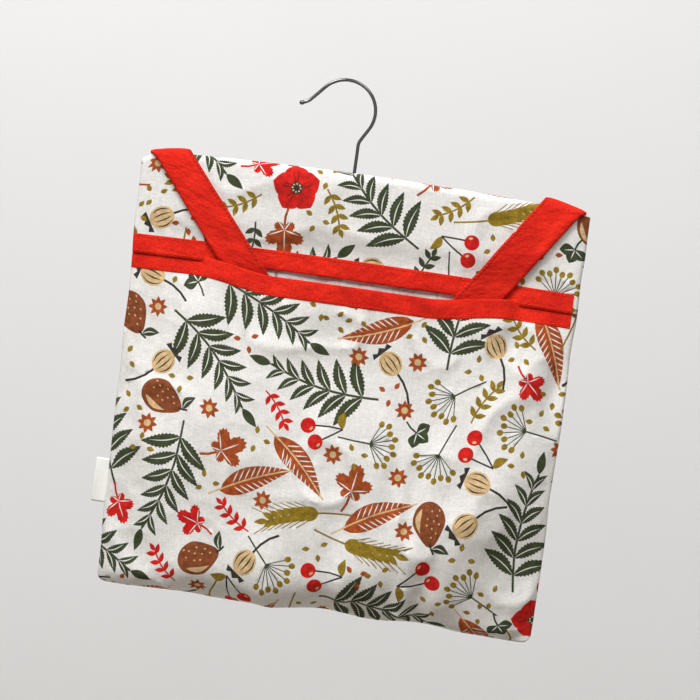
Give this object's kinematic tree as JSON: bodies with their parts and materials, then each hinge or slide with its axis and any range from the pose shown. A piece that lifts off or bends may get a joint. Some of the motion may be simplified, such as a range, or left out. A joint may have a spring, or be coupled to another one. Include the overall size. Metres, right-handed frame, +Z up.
{
  "type": "peg bag",
  "caption": "Flat cotton peg bag with a bound slit mouth and a tucked shoulder strap, hung on a wooden bar with a swivelling wire hook.",
  "frame": {"origin": "inner top of the hook's arc, the point that rests on a rail", "axes": "+Z up along the hook's stem, +X to the right, -Y out of the bag's front"},
  "size_m": [0.3246, 0.0417, 0.3742],
  "materials": {
    "steel_wire": "drawn wire, satin",
    "hanger_wood": "bare beech",
    "printed_cotton": "plain weave, printed",
    "red_cotton": "plain weave, dyed",
    "label_tape": "woven tape"
  },
  "bodies": {
    "hook": {"hook_wire": "steel_wire", "shank_washer": "steel_wire"},
    "hanger": {"hanger_bar": "hanger_wood"},
    "bag": {"back_panel": "printed_cotton", "front_yoke": "printed_cotton", "front_pouch": "printed_cotton", "upper_binding": "red_cotton", "lower_binding": "red_cotton", "shoulder_strap": "red_cotton", "side_label": "label_tape"}
  },
  "joints": [
    {"name": "hanger_swivel", "type": "hinge", "parent": "hook", "child": "hanger", "pos_m": [0.0126, 0, -0.07], "axis": [0, 0, 1], "continuous": true},
    {"name": "bag_lift", "type": "slide", "parent": "hanger", "child": "bag", "axis": [0, 0, 1], "range_m": [0, 0.018]}
  ]
}
